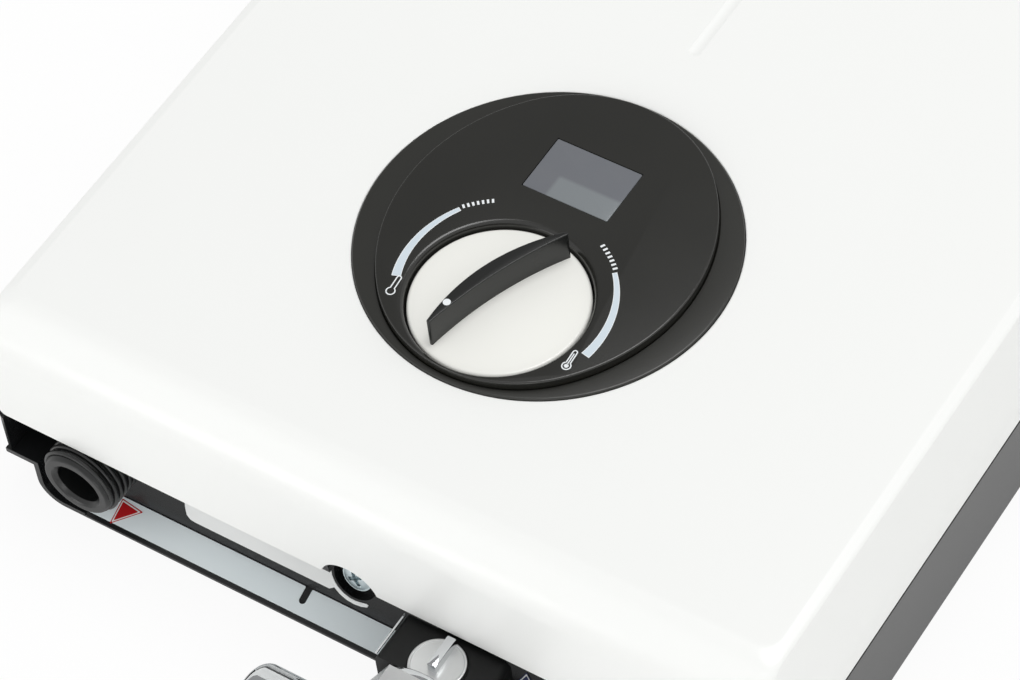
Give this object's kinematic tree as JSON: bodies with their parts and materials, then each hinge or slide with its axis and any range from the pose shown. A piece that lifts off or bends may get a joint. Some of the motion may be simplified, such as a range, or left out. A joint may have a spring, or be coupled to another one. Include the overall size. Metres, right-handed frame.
{
  "type": "tankless electric water heater",
  "caption": "Wall-hung tankless electric water heater: white hood on a black back panel, round black dial with knob and display, hot outlet and cold inlet with stop valve below.",
  "frame": {"origin": "centre of the casing's back face, on the wall plane", "axes": "+X right and +Y up as seen on the wall, +Z out of the front; the part lies on its back"},
  "size_m": [0.216, 0.4285, 0.0751],
  "materials": {
    "white_gloss": "gloss",
    "black_shell": "gloss",
    "black_satin": "satin",
    "black_grip": "matte",
    "cream_gloss": "gloss",
    "display_grey": "gloss",
    "marker_white": "gloss",
    "black_rubber": "matte",
    "chrome_plate": "polished",
    "steel": "satin",
    "brass_turned": "satin",
    "copper_pipe": "satin",
    "aluminium_sink": "satin",
    "board_green": "satin",
    "ivory_plastic": "satin",
    "grey_plastic": "matte",
    "dark_plastic": "matte",
    "red_plastic": "gloss",
    "blue_plastic": "satin"
  },
  "bodies": {
    "casing": {"back_panel": "black_shell", "hood": "white_gloss", "casing_seal": "black_rubber", "hood_screw": "steel", "wall_bracket": "steel", "bracket_nut": "ivory_plastic", "dial_bezel": "black_satin", "fascia_plate": "black_satin", "display_window": "display_grey", "lcd_module": "grey_plastic", "control_board": "board_green", "board_screws": "steel", "pot_body": "dark_plastic", "outlet_stub": "black_satin", "outlet_pipe": "copper_pipe", "outlet_sensor": "brass_turned", "inlet_fitting": "black_satin", "inlet_strainer": "steel", "union_nut": "chrome_plate", "union_gasket": "black_rubber", "valve_body": "chrome_plate", "valve_bonnet": "chrome_plate", "flow_sensor": "ivory_plastic", "inlet_pipe": "copper_pipe", "heat_sink": "aluminium_sink", "triacs": "dark_plastic", "inlet_sensor": "brass_turned", "heater_base": "ivory_plastic", "heater_cover": "ivory_plastic", "heater_seal": "black_rubber", "heating_coils": "steel", "element_studs": "brass_turned", "block_screws": "steel", "thermal_cutout": "dark_plastic", "power_board": "board_green", "power_board_screws": "steel", "terminal_block": "ivory_plastic", "terminal_screws": "brass_turned", "cable_grommet": "black_rubber", "ribbon_cable": "grey_plastic"},
    "knob": {"knob_disc": "cream_gloss", "knob_grip": "black_grip", "knob_marker": "marker_white", "pot_shaft": "ivory_plastic"},
    "regulator": {"regulator_spindle": "chrome_plate"},
    "stop_valve": {"valve_knob": "chrome_plate", "valve_spindle": "brass_turned", "valve_ball": "steel"},
    "turbine": {"flow_turbine": "blue_plastic"},
    "reset": {"reset_button": "red_plastic"}
  },
  "joints": [
    {"name": "knob_turn", "type": "hinge", "parent": "casing", "child": "knob", "pos_m": [0, -0.1241, 0.065], "axis": [0, 0, -1], "range_deg": [0, 300]},
    {"name": "regulator_turn", "type": "hinge", "parent": "casing", "child": "regulator", "pos_m": [0.025, -0.1956, 0.027], "axis": [0, 0, 1], "range_deg": [0, 90]},
    {"name": "stop_valve_turn", "type": "hinge", "parent": "casing", "child": "stop_valve", "pos_m": [0, -0.2202, 0.0184], "axis": [-1, 0, 0], "range_deg": [0, 90]},
    {"name": "turbine_spin", "type": "hinge", "parent": "casing", "child": "turbine", "pos_m": [0.025, -0.145, 0.0184], "axis": [0, 1, 0], "continuous": true},
    {"name": "reset_press", "type": "slide", "parent": "casing", "child": "reset", "axis": [0, 0, 1], "range_m": [-0.0012, 0], "stiffness_N_per_m": 800}
  ]
}
